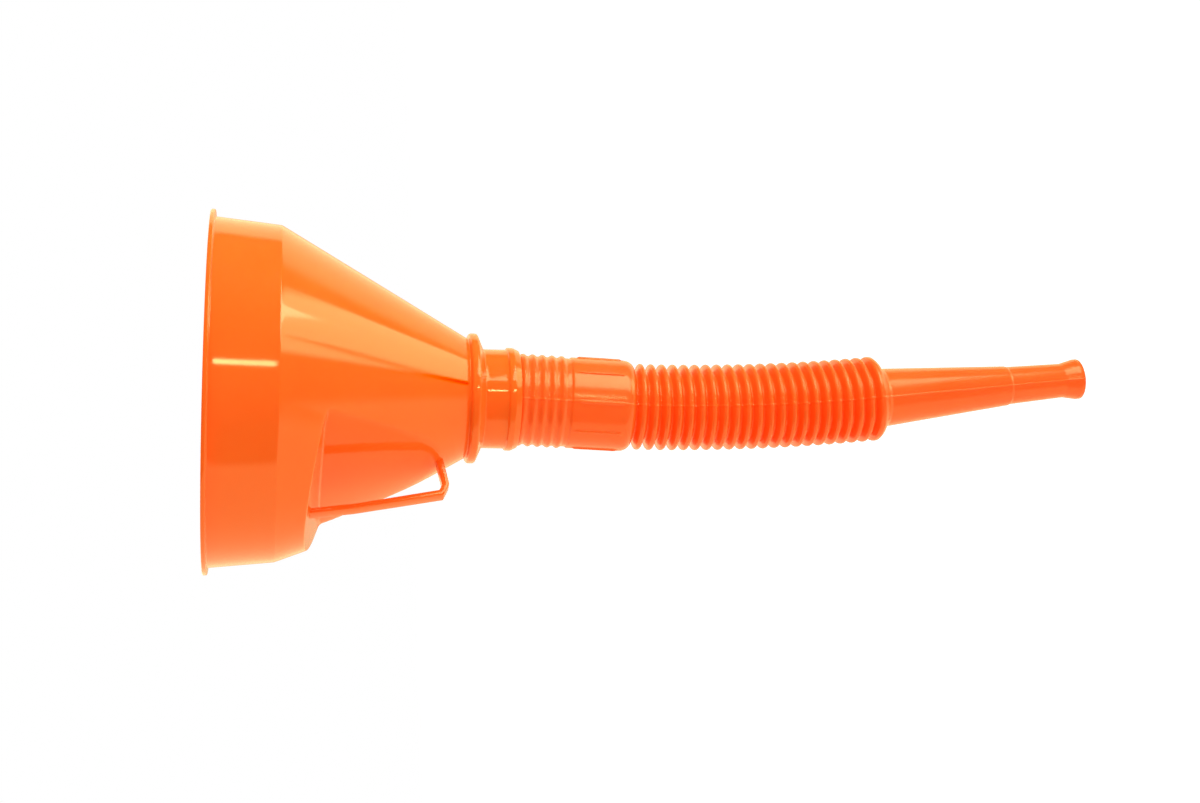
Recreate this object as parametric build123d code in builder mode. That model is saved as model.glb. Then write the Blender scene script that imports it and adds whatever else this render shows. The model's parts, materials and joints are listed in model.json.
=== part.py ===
"""Hand funnel with a bellows spout, a push-fit neck and a lift-out strainer.

Frame: millimetres, +Z up, the bowl's axis on Z, mouth up and spout down.
The origin is the centre of the rim's top plane. The handle is on the -X side.
Depths are measured down from the rim plane, so a depth s lies at z = -s.
"""
from build123d import *
import math
import os

# ---------------------------------------------------------------- driving dimensions
RIM_RADIUS = 80.0            # outside of the rim flange
RIM_THICKNESS = 2.0
WALL = 2.0                   # wall of the moulded bowl
EDGE = 0.8                   # lead-in on the raised rings

CYLINDER_TOP_RADIUS = 76.8   # outside of the drafted band under the rim
CORNER_RADIUS = 74.0         # outside, where the band turns into the cone
CORNER_DEPTH = 30.7
CONE_HALF_ANGLE = 29.8       # degrees
CONE_END_DEPTH = 113.4

COLLAR_RADIUS = 29.0         # raised ring between the cone and the neck
COLLAR_CREST_LENGTH = 4.0
COLLAR_END_DEPTH = 120.4

NECK_RADIUS = 22.1
NECK_BORE_RADIUS = 20.8
NECK_END_DEPTH = 136.3
END_BEAD_RADIUS = 23.0
END_BEAD_DEPTH = 130.6
END_BEAD_CREST_LENGTH = 3.0
SEAT_DEPTH = 115.0           # ledge that carries the strainer

# The handle side of the bowl: a shelf, a step down and a recessed floor that starts nearly flat.
CREASE_DEPTH = 43.0          # shelf edge in the handle plane
CREASE_RADIUS = 70.2
STEP_SLOPE = 0.23            # the step's plane drops this much per mm towards the axis
FLOOR_TOP_DEPTH = 50.0
FLOOR_TOP_REACH = 42.5       # distance from the axis to the floor in the handle plane
FLOOR_END_DEPTH = 100.0      # depth where the floor runs out into the cone
RECESS_HALF_WIDTH = 52.5     # degrees either side of the handle plane

STRAP_WIDTH = 5.6
STRAP_THICKNESS = 2.4
LEG_THICKNESS = 3.0

# The spout: one soft moulding, divided here where it flexes.
RIB_PITCH = 4.35
RIB_RADIUS = 20.7
RIB_GROOVE_RADIUS = 19.9
FIRST_RIB_DEPTH = 124.85
RIB_COUNT = 8
SPOUT_BORE_RADIUS = 18.4
GRIP_TOP_DEPTH = 158.9
GRIP_END_DEPTH = 183.2
GRIP_RADIUS = 20.4
GRIP_SHOULDER_RADIUS = 4.0
GRIP_RIB_COUNT = 9
GRIP_RIB_WIDTH = 1.5
GRIP_RIB_HEIGHT = 0.6
SEAM_ANGLE = 240.0           # degrees about Z; the spout's moulding seam at rest

CONVOLUTION_PITCH = 5.2
CONVOLUTION_COUNT = 21
CREST_RADIUS = 19.4
ROOT_RADIUS = 15.2
BELLOWS_WALL = 1.1
FLEX_GAP = 1.3               # opening left at each root, where the soft wall folds
FIRST_HINGE_DEPTH = 188.75
SAG_DEPTH = 135.7            # the sleeve sags here, at the neck's end
SAG_ANGLE = 2.4              # degrees, towards the handle
SAG_LENGTH = 1.6             # length of sleeve over which it turns
REST_BEND = 0.364            # degrees at each root at rest, away from the handle
ENTRY_ROOTS = 3              # the first roots bend further, where the bellows leaves the stiff grip
ENTRY_BEND = 0.70            # degrees more at each of them

NOZZLE_TOP_RADIUS = 13.5
NOZZLE_STEP_RADIUS = 9.2
NOZZLE_WAIST_RADIUS = 7.95
OUTLET_RADIUS = 9.4
NOZZLE_WALL = 1.2
NOZZLE_TOP = 8.2             # distances below the last root, along the nozzle
NOZZLE_STEP = 70.1
NOZZLE_WAIST = 98.3
OUTLET_LAND = 105.2
NOZZLE_LENGTH = 107.0

os.makedirs("parts", exist_ok=True)


def finish(piece, name):
    """Label a finished piece and write it out."""
    piece.part.label = name
    export_step(piece.part, f"parts/{name}.step")


# ---------------------------------------------------------------- bowl
CONE_SLOPE = math.tan(math.radians(CONE_HALF_ANGLE))


def cone_radius(depth):
    """Outside radius of the main cone."""
    return CORNER_RADIUS - CONE_SLOPE * (depth - CORNER_DEPTH)


def circle_through(reach, depth):
    """Centre shift and radius of the circle that reaches `reach` towards the handle
    and meets the main cone at the recess's two sides."""
    cone = cone_radius(depth)
    side_x = cone * math.cos(math.radians(RECESS_HALF_WIDTH))
    side_y = cone * math.sin(math.radians(RECESS_HALF_WIDTH))
    rise = reach - side_x
    radius = (side_y**2 + rise**2) / (2 * rise)
    return reach - radius, radius


def cone_between(name, upper, lower, inset):
    """Solid cone through two level circles, each given as (depth, shift, radius)."""
    reach_drop = (upper[1] + upper[2]) - (lower[1] + lower[2])
    inset_radius = inset / math.cos(math.atan(reach_drop / (lower[0] - upper[0])))
    with BuildPart() as cone:
        for depth, shift, radius in (upper, lower):
            with BuildSketch(Plane.XY.offset(-depth)):
                with Locations((-shift, 0)):
                    Circle(radius - inset_radius)
        loft(ruled=True)
    cone.part.label = name
    return cone.part


def stretch(upper, lower, depth):
    """The circle at another depth on the cone through two circles."""
    share = (depth - upper[0]) / (lower[0] - upper[0])
    shift = upper[1] + share * (lower[1] - upper[1])
    radius = upper[2] + share * (lower[2] - upper[2])
    return depth, shift, radius


def step_depth(reach, inset=0.0):
    """Depth of the step's plane at a distance from the axis towards the handle."""
    return CREASE_DEPTH + STEP_SLOPE * (CREASE_RADIUS - reach) - inset


SHELF_TOP = (CORNER_DEPTH, 0.0, CORNER_RADIUS)
SHELF_LOW = (CREASE_DEPTH, *circle_through(CREASE_RADIUS, CREASE_DEPTH))
FLOOR_HIGH = (FLOOR_TOP_DEPTH, *circle_through(FLOOR_TOP_REACH, FLOOR_TOP_DEPTH))
FLOOR_LOW = (FLOOR_END_DEPTH, 0.0, cone_radius(FLOOR_END_DEPTH))
FAR = 100.0                  # beyond the outside of the bowl


def handle_side(inset, below):
    """Prism on the handle side, above or below the step's plane."""
    far_depth = FLOOR_END_DEPTH if below else CORNER_DEPTH
    with BuildPart() as prism:
        with BuildSketch(Plane.XZ):
            with BuildLine():
                Polyline(
                    (-FAR, -step_depth(FAR, inset)),
                    (0, -step_depth(0, inset)),
                    (0, -far_depth),
                    (-FAR, -far_depth),
                    close=True,
                )
            make_face()
        extrude(amount=FAR, both=True)
    return prism.part


def shelf(inset):
    """Slightly proud skin above the step, on the handle side."""
    lower = stretch(SHELF_TOP, SHELF_LOW, step_depth(0))
    skin = cone_between("shelf", SHELF_TOP, lower, inset)
    with BuildPart() as block:
        add(skin)
        add(handle_side(inset, below=False), mode=Mode.INTERSECT)
    return block.part


def recess(inset):
    """What the recessed side removes: all outside the floor, below the step."""
    upper = stretch(FLOOR_HIGH, FLOOR_LOW, CORNER_DEPTH - WALL)
    floor = cone_between("floor", upper, FLOOR_LOW, inset)
    with BuildPart() as block:
        add(handle_side(inset, below=True))
        add(floor, mode=Mode.SUBTRACT)
    return block.part


def inner_radius(depth):
    """Inside radius of the main cone."""
    return cone_radius(depth) - WALL / math.cos(math.radians(CONE_HALF_ANGLE))


with BuildPart() as cavity:
    with BuildSketch(Plane.XZ):
        with BuildLine():
            Polyline(
                (0, 1),
                (CYLINDER_TOP_RADIUS - WALL, 1),
                (inner_radius(CORNER_DEPTH), -CORNER_DEPTH),
                (inner_radius(SEAT_DEPTH), -SEAT_DEPTH),
                (NECK_BORE_RADIUS, -SEAT_DEPTH),
                (NECK_BORE_RADIUS, -NECK_END_DEPTH - 1),
                (0, -NECK_END_DEPTH - 1),
                close=True,
            )
        make_face()
    revolve(axis=Axis.Z)
    add(shelf(WALL))
    add(recess(WALL), mode=Mode.SUBTRACT)

with BuildPart() as bowl:
    with BuildSketch(Plane.XZ):
        with BuildLine():
            Polyline(
                (0, 0),
                (RIM_RADIUS, 0),
                (RIM_RADIUS, -RIM_THICKNESS),
                (CYLINDER_TOP_RADIUS, -RIM_THICKNESS),
                (CORNER_RADIUS, -CORNER_DEPTH),
                (cone_radius(CONE_END_DEPTH), -CONE_END_DEPTH),
                (COLLAR_RADIUS, -CONE_END_DEPTH - EDGE),
                (COLLAR_RADIUS, -CONE_END_DEPTH - COLLAR_CREST_LENGTH),
                (NECK_RADIUS, -COLLAR_END_DEPTH),
                (NECK_RADIUS, -END_BEAD_DEPTH),
                (END_BEAD_RADIUS, -END_BEAD_DEPTH - EDGE),
                (END_BEAD_RADIUS, -END_BEAD_DEPTH - END_BEAD_CREST_LENGTH),
                (NECK_RADIUS - EDGE / 2, -NECK_END_DEPTH),
                (0, -NECK_END_DEPTH),
                close=True,
            )
        make_face()
    revolve(axis=Axis.Z)
    add(shelf(0))
    add(recess(0), mode=Mode.SUBTRACT)
    # Handle strap: out from the step, along the cone and back on a short leg.
    with BuildSketch(Plane.XZ):
        with BuildLine():
            Polyline(
                (-61.2, -44.6),
                (-58.5, -63.9),
                (-51.0, -102.3),
                (-45.5, -104.8),
                (-33.0, -102.2),
                (-33.0, -102.2 + LEG_THICKNESS),
                (-45.6, -104.8 + LEG_THICKNESS),
                (-48.6, -100.4),
                (-58.5 + STRAP_THICKNESS, -63.9),
                (-61.2 + STRAP_THICKNESS, -44.6),
                close=True,
            )
        make_face()
    extrude(amount=STRAP_WIDTH / 2, both=True)
    add(cavity.part, mode=Mode.SUBTRACT)
finish(bowl, "bowl")

# ---------------------------------------------------------------- strainer
STRAINER_HEIGHT = 5.0
STRAINER_CLEARANCE = 0.3
STRAINER_OPENING = 20.0
GAUZE_THICKNESS = 0.6
GAUZE_RADIUS = 21.4
GAUZE_DEPTH = SEAT_DEPTH - 1.6
SLOT_CLEARANCE = 0.05
BAR_WIDTH = 1.8
BAR_HEIGHT = 1.6
KNOB_RADIUS = 3.2
KNOB_HEIGHT = 9.0
strainer_top = SEAT_DEPTH - STRAINER_HEIGHT

with BuildPart() as strainer_frame:
    with BuildSketch(Plane.XZ):
        with BuildLine():
            Polyline(
                (STRAINER_OPENING, -strainer_top),
                (inner_radius(strainer_top) - STRAINER_CLEARANCE, -strainer_top),
                (inner_radius(SEAT_DEPTH) - STRAINER_CLEARANCE, -SEAT_DEPTH),
                (STRAINER_OPENING, -SEAT_DEPTH),
                close=True,
            )
        make_face()
    revolve(axis=Axis.Z)
    # Cross bars over the gauze, with a knob to lift the strainer by.
    bar_floor = -(GAUZE_DEPTH - GAUZE_THICKNESS)
    with BuildSketch(Plane.XY.offset(bar_floor)):
        Rectangle(2 * STRAINER_OPENING + 1, BAR_WIDTH)
        Rectangle(BAR_WIDTH, 2 * STRAINER_OPENING + 1)
    extrude(amount=BAR_HEIGHT)
    with BuildSketch(Plane.XY.offset(bar_floor)):
        Circle(KNOB_RADIUS)
    extrude(amount=KNOB_HEIGHT)
    # Slot that grips the gauze's edge.
    with BuildSketch(Plane.XY.offset(-GAUZE_DEPTH - SLOT_CLEARANCE)):
        Circle(GAUZE_RADIUS + SLOT_CLEARANCE)
    extrude(amount=GAUZE_THICKNESS + 2 * SLOT_CLEARANCE, mode=Mode.SUBTRACT)
finish(strainer_frame, "strainer_frame")

with BuildPart() as strainer_gauze:
    with BuildSketch(Plane.XY.offset(-GAUZE_DEPTH)):
        Circle(GAUZE_RADIUS)
    extrude(amount=GAUZE_THICKNESS)
finish(strainer_gauze, "strainer_gauze")

# ---------------------------------------------------------------- spout centreline
def spout_tilt(root):
    """Tilt of the spout just below a root, in degrees; -1 stands for the sleeve."""
    bends = root + 1
    return bends * REST_BEND + min(bends, ENTRY_ROOTS) * ENTRY_BEND - SAG_ANGLE


def root_station(index):
    """Centre of a root and the spout's tilt just below it, in degrees."""
    tilt = math.radians(spout_tilt(-1))
    x = (FIRST_HINGE_DEPTH - SAG_DEPTH) * math.sin(tilt)
    z = -SAG_DEPTH - (FIRST_HINGE_DEPTH - SAG_DEPTH) * math.cos(tilt)
    for ring in range(index):
        tilt = math.radians(spout_tilt(ring))
        x += CONVOLUTION_PITCH * math.sin(tilt)
        z -= CONVOLUTION_PITCH * math.cos(tilt)
    return x, z, spout_tilt(index)


def spout_plane(x, z, tilt_degrees):
    """Lengthwise section plane through a point of the centreline; local +y is up the spout."""
    tilt = math.radians(tilt_degrees)
    return Plane(origin=(x, 0, z), x_dir=(math.cos(tilt), 0, math.sin(tilt)), z_dir=(0, -1, 0))


# ---------------------------------------------------------------- spout connector
CONNECTOR_TOP_DEPTH = FIRST_RIB_DEPTH - RIB_PITCH / 2 - 1.5
RIB_HALF = 1.3               # half the length of a sealing rib
ROOT_FACE = FIRST_HINGE_DEPTH - FLEX_GAP / 2
sagging_plane = spout_plane(0, -SAG_DEPTH, -SAG_ANGLE)
sagging_axis = Axis(sagging_plane.origin, sagging_plane.y_dir)


def sealing_rib(plane, height):
    """Half-round rib section on a sleeve's surface, at a height in the plane."""
    with BuildSketch(plane) as section:
        with BuildLine():
            Polyline(
                (RIB_GROOVE_RADIUS, height - RIB_HALF),
                (RIB_GROOVE_RADIUS - 0.5, height - RIB_HALF),
                (RIB_GROOVE_RADIUS - 0.5, height + RIB_HALF),
                (RIB_GROOVE_RADIUS, height + RIB_HALF),
            )
            ThreePointArc(
                (RIB_GROOVE_RADIUS, height + RIB_HALF),
                (RIB_RADIUS, height),
                (RIB_GROOVE_RADIUS, height - RIB_HALF),
            )
        make_face()
    return section.sketch


SAG_RADIUS = SAG_LENGTH / math.radians(SAG_ANGLE)
SAG_TANGENT = SAG_RADIUS * math.tan(math.radians(SAG_ANGLE) / 2)
sag_axis = Axis((-SAG_RADIUS, 0, SAG_TANGENT - SAG_DEPTH), (0, 1, 0))


def sleeve_bar(radius):
    """Round bar along the sleeve: straight in the neck, a short bend, then straight to the grip."""
    with BuildPart() as bar:
        with BuildSketch(Plane.XY.offset(SAG_TANGENT - SAG_DEPTH)) as section:
            Circle(radius)
        extrude(amount=SAG_DEPTH - SAG_TANGENT - CONNECTOR_TOP_DEPTH)
        revolve(section.sketch, axis=sag_axis, revolution_arc=SAG_ANGLE)
        below_bend = sagging_plane.origin - sagging_plane.y_dir * SAG_TANGENT
        with BuildSketch(Plane(origin=below_bend, x_dir=sagging_plane.x_dir, z_dir=-sagging_plane.y_dir)):
            Circle(radius)
        extrude(amount=GRIP_END_DEPTH - SAG_DEPTH - SAG_TANGENT)
    return bar.part


with BuildPart() as spout_connector:
    add(sleeve_bar(RIB_GROOVE_RADIUS))
    # Grip and its rounded shoulder.
    with BuildSketch(sagging_plane):
        with BuildLine():
            Polyline(
                (0, SAG_DEPTH - ROOT_FACE),
                (0, SAG_DEPTH - GRIP_TOP_DEPTH),
                (RIB_GROOVE_RADIUS, SAG_DEPTH - GRIP_TOP_DEPTH),
                (GRIP_RADIUS, SAG_DEPTH - GRIP_TOP_DEPTH - 1),
                (GRIP_RADIUS, SAG_DEPTH - GRIP_END_DEPTH),
            )
            RadiusArc(
                (GRIP_RADIUS, SAG_DEPTH - GRIP_END_DEPTH),
                (GRIP_RADIUS - GRIP_SHOULDER_RADIUS, SAG_DEPTH - ROOT_FACE),
                GRIP_SHOULDER_RADIUS,
            )
            Line(
                (GRIP_RADIUS - GRIP_SHOULDER_RADIUS, SAG_DEPTH - ROOT_FACE),
                (0, SAG_DEPTH - ROOT_FACE),
            )
        make_face()
    revolve(axis=sagging_axis)
    # Sealing ribs around the sleeve; the upper ones sit inside the neck.
    for rib in range(RIB_COUNT):
        rib_depth = FIRST_RIB_DEPTH + rib * RIB_PITCH
        if rib_depth < NECK_END_DEPTH:
            add(sealing_rib(Plane.XZ, -rib_depth))
            revolve(axis=Axis.Z)
        else:
            add(sealing_rib(sagging_plane, SAG_DEPTH - rib_depth))
            revolve(axis=sagging_axis)
    # Lengthwise grip ribs.
    grip_floor = sagging_plane.origin - sagging_plane.y_dir * (GRIP_END_DEPTH - SAG_DEPTH - 1)
    grip_plane = Plane(origin=grip_floor, x_dir=sagging_plane.x_dir, z_dir=sagging_plane.y_dir)
    with BuildSketch(grip_plane):
        with PolarLocations(GRIP_RADIUS, GRIP_RIB_COUNT, start_angle=SEAM_ANGLE):
            Rectangle(2 * GRIP_RIB_HEIGHT, GRIP_RIB_WIDTH)
    extrude(amount=GRIP_END_DEPTH - GRIP_TOP_DEPTH - 5)
    # Bore, narrowing to the first root.
    add(sleeve_bar(SPOUT_BORE_RADIUS), mode=Mode.SUBTRACT)
    with BuildSketch(sagging_plane):
        with BuildLine():
            Polyline(
                (0, SAG_DEPTH - GRIP_END_DEPTH),
                (SPOUT_BORE_RADIUS, SAG_DEPTH - GRIP_END_DEPTH),
                (ROOT_RADIUS - BELLOWS_WALL, SAG_DEPTH - ROOT_FACE + 1),
                (ROOT_RADIUS - BELLOWS_WALL, SAG_DEPTH - ROOT_FACE - 1),
                (0, SAG_DEPTH - ROOT_FACE - 1),
                close=True,
            )
        make_face()
    revolve(axis=sagging_axis, mode=Mode.SUBTRACT)
finish(spout_connector, "spout_connector")


# ---------------------------------------------------------------- bellows
def section_plane(index, below=0.0):
    """Section plane of the spout at a distance below a root."""
    x, z, tilt_degrees = root_station(index)
    tilt = math.radians(tilt_degrees)
    return spout_plane(x + below * math.sin(tilt), z - below * math.cos(tilt), tilt_degrees)


RING_HALF = (CONVOLUTION_PITCH - FLEX_GAP) / 2
CREST_HALF = 1.0
SHOULDER_OF_CREST = CREST_RADIUS - 0.7

for index in range(CONVOLUTION_COUNT):
    plane = section_plane(index, CONVOLUTION_PITCH / 2)
    with BuildPart() as ring:
        with BuildSketch(plane):
            with BuildLine():
                Line((ROOT_RADIUS, -RING_HALF), (SHOULDER_OF_CREST, -CREST_HALF))
                ThreePointArc(
                    (SHOULDER_OF_CREST, -CREST_HALF),
                    (CREST_RADIUS, 0),
                    (SHOULDER_OF_CREST, CREST_HALF),
                )
                Polyline(
                    (SHOULDER_OF_CREST, CREST_HALF),
                    (ROOT_RADIUS, RING_HALF),
                    (ROOT_RADIUS - BELLOWS_WALL, RING_HALF),
                    (CREST_RADIUS - 2, 0.3),
                    (CREST_RADIUS - 2, -0.3),
                    (ROOT_RADIUS - BELLOWS_WALL, -RING_HALF),
                    (ROOT_RADIUS, -RING_HALF),
                )
            make_face()
        revolve(axis=Axis(plane.origin, plane.y_dir))
    finish(ring, f"bellows_ring_{index + 1:02d}")

# ---------------------------------------------------------------- nozzle
nozzle_plane = section_plane(CONVOLUTION_COUNT)
NOZZLE_START = FLEX_GAP / 2
SHOULDER_TOP = CONVOLUTION_PITCH / 2

with BuildPart() as spout_nozzle:
    with BuildSketch(nozzle_plane):
        with BuildLine():
            Polyline(
                (ROOT_RADIUS - BELLOWS_WALL, -NOZZLE_START),
                (ROOT_RADIUS, -NOZZLE_START),
                (SHOULDER_OF_CREST, -SHOULDER_TOP + CREST_HALF),
            )
            ThreePointArc(
                (SHOULDER_OF_CREST, -SHOULDER_TOP + CREST_HALF),
                (CREST_RADIUS, -SHOULDER_TOP - 0.4),
                (SHOULDER_OF_CREST, -SHOULDER_TOP - 2.0),
            )
            Polyline(
                (SHOULDER_OF_CREST, -SHOULDER_TOP - 2.0),
                (NOZZLE_TOP_RADIUS, -NOZZLE_TOP),
                (NOZZLE_STEP_RADIUS, -NOZZLE_STEP),
                (NOZZLE_STEP_RADIUS - 0.4, -NOZZLE_STEP - 0.8),
                (NOZZLE_WAIST_RADIUS, -NOZZLE_WAIST),
                (OUTLET_RADIUS, -OUTLET_LAND),
                (OUTLET_RADIUS, -NOZZLE_LENGTH),
                (OUTLET_RADIUS - NOZZLE_WALL, -NOZZLE_LENGTH),
                (OUTLET_RADIUS - NOZZLE_WALL, -OUTLET_LAND),
                (NOZZLE_WAIST_RADIUS - NOZZLE_WALL, -NOZZLE_WAIST),
                (NOZZLE_STEP_RADIUS - NOZZLE_WALL - 0.2, -NOZZLE_STEP),
                (NOZZLE_TOP_RADIUS - NOZZLE_WALL, -NOZZLE_TOP),
                (CREST_RADIUS - NOZZLE_WALL - 0.8, -SHOULDER_TOP - 1.0),
                (CREST_RADIUS - NOZZLE_WALL - 0.8, -SHOULDER_TOP),
                (ROOT_RADIUS - BELLOWS_WALL, -NOZZLE_START),
            )
        make_face()
    revolve(axis=Axis(nozzle_plane.origin, nozzle_plane.y_dir))
finish(spout_nozzle, "spout_nozzle")
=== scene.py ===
"""Looks for the funnel with a bellows spout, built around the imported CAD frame.

Lengths are metres in the CAD's frame: the bowl's axis is Z, the rim is at z = 0, the spout points down
and the handle is on -X. Depths are measured down from the rim. The camera lies on its side, so the
funnel lies across the picture.
"""
import json
import math

import bmesh
import bpy
import numpy as np
from mathutils import Matrix, Vector


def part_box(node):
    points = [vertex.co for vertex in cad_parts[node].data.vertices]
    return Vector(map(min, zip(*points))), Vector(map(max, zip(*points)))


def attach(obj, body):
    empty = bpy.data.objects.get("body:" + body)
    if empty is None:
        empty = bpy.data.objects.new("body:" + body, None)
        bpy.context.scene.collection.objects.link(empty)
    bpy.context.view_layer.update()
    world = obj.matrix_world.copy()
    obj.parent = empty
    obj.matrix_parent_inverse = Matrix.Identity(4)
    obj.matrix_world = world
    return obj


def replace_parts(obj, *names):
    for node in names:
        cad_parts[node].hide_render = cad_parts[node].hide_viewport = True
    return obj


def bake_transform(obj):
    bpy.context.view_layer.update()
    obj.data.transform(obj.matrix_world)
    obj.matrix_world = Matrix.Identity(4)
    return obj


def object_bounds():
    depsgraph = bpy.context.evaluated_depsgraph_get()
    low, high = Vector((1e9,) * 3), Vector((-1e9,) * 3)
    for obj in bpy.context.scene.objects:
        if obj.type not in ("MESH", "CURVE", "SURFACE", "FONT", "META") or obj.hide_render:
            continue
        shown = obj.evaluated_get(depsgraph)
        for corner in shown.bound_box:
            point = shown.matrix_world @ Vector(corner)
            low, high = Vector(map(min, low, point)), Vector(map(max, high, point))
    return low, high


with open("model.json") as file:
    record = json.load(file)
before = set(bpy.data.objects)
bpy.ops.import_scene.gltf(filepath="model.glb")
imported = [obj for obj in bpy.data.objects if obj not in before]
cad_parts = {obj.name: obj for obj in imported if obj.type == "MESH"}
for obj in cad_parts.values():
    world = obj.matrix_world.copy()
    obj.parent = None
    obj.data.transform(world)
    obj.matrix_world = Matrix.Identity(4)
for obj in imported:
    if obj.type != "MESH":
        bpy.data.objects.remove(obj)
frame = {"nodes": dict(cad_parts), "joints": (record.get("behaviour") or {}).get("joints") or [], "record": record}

cad_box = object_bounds()
MM = 0.001
FULL_TURN = 2 * math.pi


# ---------------------------------------------------------------- sizes
def box_size(node):
    low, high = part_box(node)
    return high - low


RIM_RADIUS = box_size("bowl").x / 2
NECK_END = -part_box("bowl")[0].z
RIM_THICKNESS = 2.0 * MM
RIM_FILLET = 0.6 * MM
WALL = 2.0 * MM
MOUTH_DEPTH = 6.0 * MM              # where the rows inside the band meet those of the rim
BAND_TOP_RADIUS = RIM_RADIUS - 3.2 * MM
CORNER_RADIUS = RIM_RADIUS - 6.0 * MM
CORNER_DEPTH = 30.7 * MM
CONE_SLOPE = math.tan(math.radians(29.8))
CONE_END = 113.4 * MM
COLLAR_RADIUS = 29.0 * MM
COLLAR_CREST = 4.0 * MM
COLLAR_END = 120.4 * MM
NECK_RADIUS = 22.1 * MM
NECK_BORE = 20.8 * MM
SEAT = 115.0 * MM
BEAD_RADIUS = 23.0 * MM
BEAD_TOP = 130.6 * MM
BEAD_CREST = 3.0 * MM

# Recess on the handle side: a step under the band's corner, and below it a nearly flat floor.
CREASE_DEPTH = 43.0 * MM
CREASE_RADIUS = 70.2 * MM
STEP_SLOPE = 0.23
FLOOR_TOP = 50.0 * MM
FLOOR_REACH = 42.5 * MM
FLOOR_END = 100.0 * MM
RECESS_HALF = math.radians(52.5)
CREASE_ROUND = 1.3 * MM
FOOT_ROUND = 1.6 * MM
RECESS_EDGE = 1.5 * MM              # cut-back at which the plastic counts as fully recessed

STRAP_WIDTH = 5.6 * MM
STRAP_THICK = 2.4 * MM              # of the upright, measured level
STRAP_FOOT_THICK = 3.0 * MM         # of the foot, measured upright
STRAP_SOFTENING = 0.45 * MM

SLEEVE_TOP = 121.3 * MM
RIB_PITCH = 4.35 * MM
FIRST_RIB = 124.85 * MM
RIB_COUNT = 8
RIB_RADIUS = 20.7 * MM
RIB_HALF_WIDTH = 1.75 * MM
GROOVE_RADIUS = 19.8 * MM
GRIP_TOP = 158.9 * MM
GRIP_END = 183.2 * MM
GRIP_RADIUS = 20.4 * MM
GRIP_SHOULDER = 4.0 * MM
GRIP_RIBS = 9
GRIP_RIB_HEIGHT = 0.6 * MM
GRIP_RIB_HALF = 0.35 * MM
GRIP_RIB_EDGE = 0.55 * MM
SEAM_ANGLE = math.radians(240.0)
SEAM_HEIGHT = 0.22 * MM
SEAM_HALF = math.radians(1.4)

CREST_RADIUS = 19.4 * MM
ROOT_RADIUS = 15.2 * MM
CREST_ROUND = 1.15 * MM
CREST_FLAT = 0.05 * MM              # half of the level stretch on a crest
ROOT_ROUND = 0.7 * MM
FOLD_BOW = 0.25                     # how far a fold's centreline bows out of its chord
SPOUT_WALL = 1.0 * MM

NOZZLE_TOP_RADIUS = 13.5 * MM
NOZZLE_STEP_RADIUS = 9.2 * MM
NOZZLE_WAIST_RADIUS = 7.95 * MM
OUTLET_RADIUS = 9.4 * MM
NOZZLE_TOP = 8.2 * MM
NOZZLE_STEP = 70.1 * MM
NOZZLE_WAIST = 98.3 * MM
OUTLET_LAND = 105.2 * MM
NOZZLE_LENGTH = 107.0 * MM


# ---------------------------------------------------------------- mesh helpers
def grid_object(name, points, material):
    """Closed quad mesh from points[row, column]: each ring closes, and the last row joins the first."""
    rows, columns = points.shape[:2]
    row = np.arange(rows)[:, None]
    column = np.arange(columns)[None, :]
    next_row = (row + 1) % rows
    next_column = (column + 1) % columns
    faces = np.stack(
        [
            row * columns + column,
            row * columns + next_column,
            next_row * columns + next_column,
            next_row * columns + column,
        ],
        axis=-1,
    ).reshape(-1, 4)
    mesh = bpy.data.meshes.new(name)
    mesh.from_pydata(points.reshape(-1, 3).tolist(), [], faces.tolist())
    mesh.update()
    return finish_object(name, mesh, material)


def finish_object(name, mesh, material):
    """Give a mesh outward normals, smooth shading and its material, and link it."""
    work = bmesh.new()
    work.from_mesh(mesh)
    bmesh.ops.recalc_face_normals(work, faces=work.faces)
    work.to_mesh(mesh)
    work.free()
    mesh.polygons.foreach_set("use_smooth", [True] * len(mesh.polygons))
    obj = bpy.data.objects.new(name, mesh)
    bpy.context.scene.collection.objects.link(obj)
    mesh.materials.append(material)
    return obj


def rounded(corners, radii, steps=6):
    """Polyline through corners, with each inner corner turned into an arc of the given radius."""
    corners = [np.array(c, float) for c in corners]
    line = [corners[0]]
    for before, corner, after, radius in zip(corners, corners[1:], corners[2:], radii):
        a = (before - corner) / np.linalg.norm(before - corner)
        b = (after - corner) / np.linalg.norm(after - corner)
        half = math.acos(max(-1.0, min(1.0, float(a @ b)))) / 2
        room = 0.49 * min(np.linalg.norm(before - corner), np.linalg.norm(after - corner))
        reach = min(radius / math.tan(half), room)
        radius = reach * math.tan(half)
        middle = corner + (a + b) / np.linalg.norm(a + b) * (radius / math.sin(half))
        start = corner + a * reach - middle
        end = corner + b * reach - middle
        turn = math.acos(max(-1.0, min(1.0, float(start @ end) / radius**2)))
        for step in range(steps + 1):
            f = step / steps
            mix = (math.sin((1 - f) * turn) * start + math.sin(f * turn) * end) / math.sin(turn)
            line.append(middle + mix)
    line.append(corners[-1])
    return np.array(line)


def rounded_profile(rows, steps=6):
    """Polyline through points whose third number is the corner's radius; the end points have none."""
    return rounded([row[:2] for row in rows], [row[2] for row in rows[1:-1]], steps)


def refined(line, step):
    """The same polyline with no segment longer than step."""
    out = [line[0]]
    for a, b in zip(line, line[1:]):
        count = max(1, math.ceil(float(np.linalg.norm(b - a)) / step))
        out += [a + (b - a) * (k + 1) / count for k in range(count)]
    return np.array(out)


# ---------------------------------------------------------------- materials
def new_material(name):
    material = bpy.data.materials.new(name)
    material.use_nodes = True
    tree = material.node_tree
    return material, tree, tree.nodes["Principled BSDF"]


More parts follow.
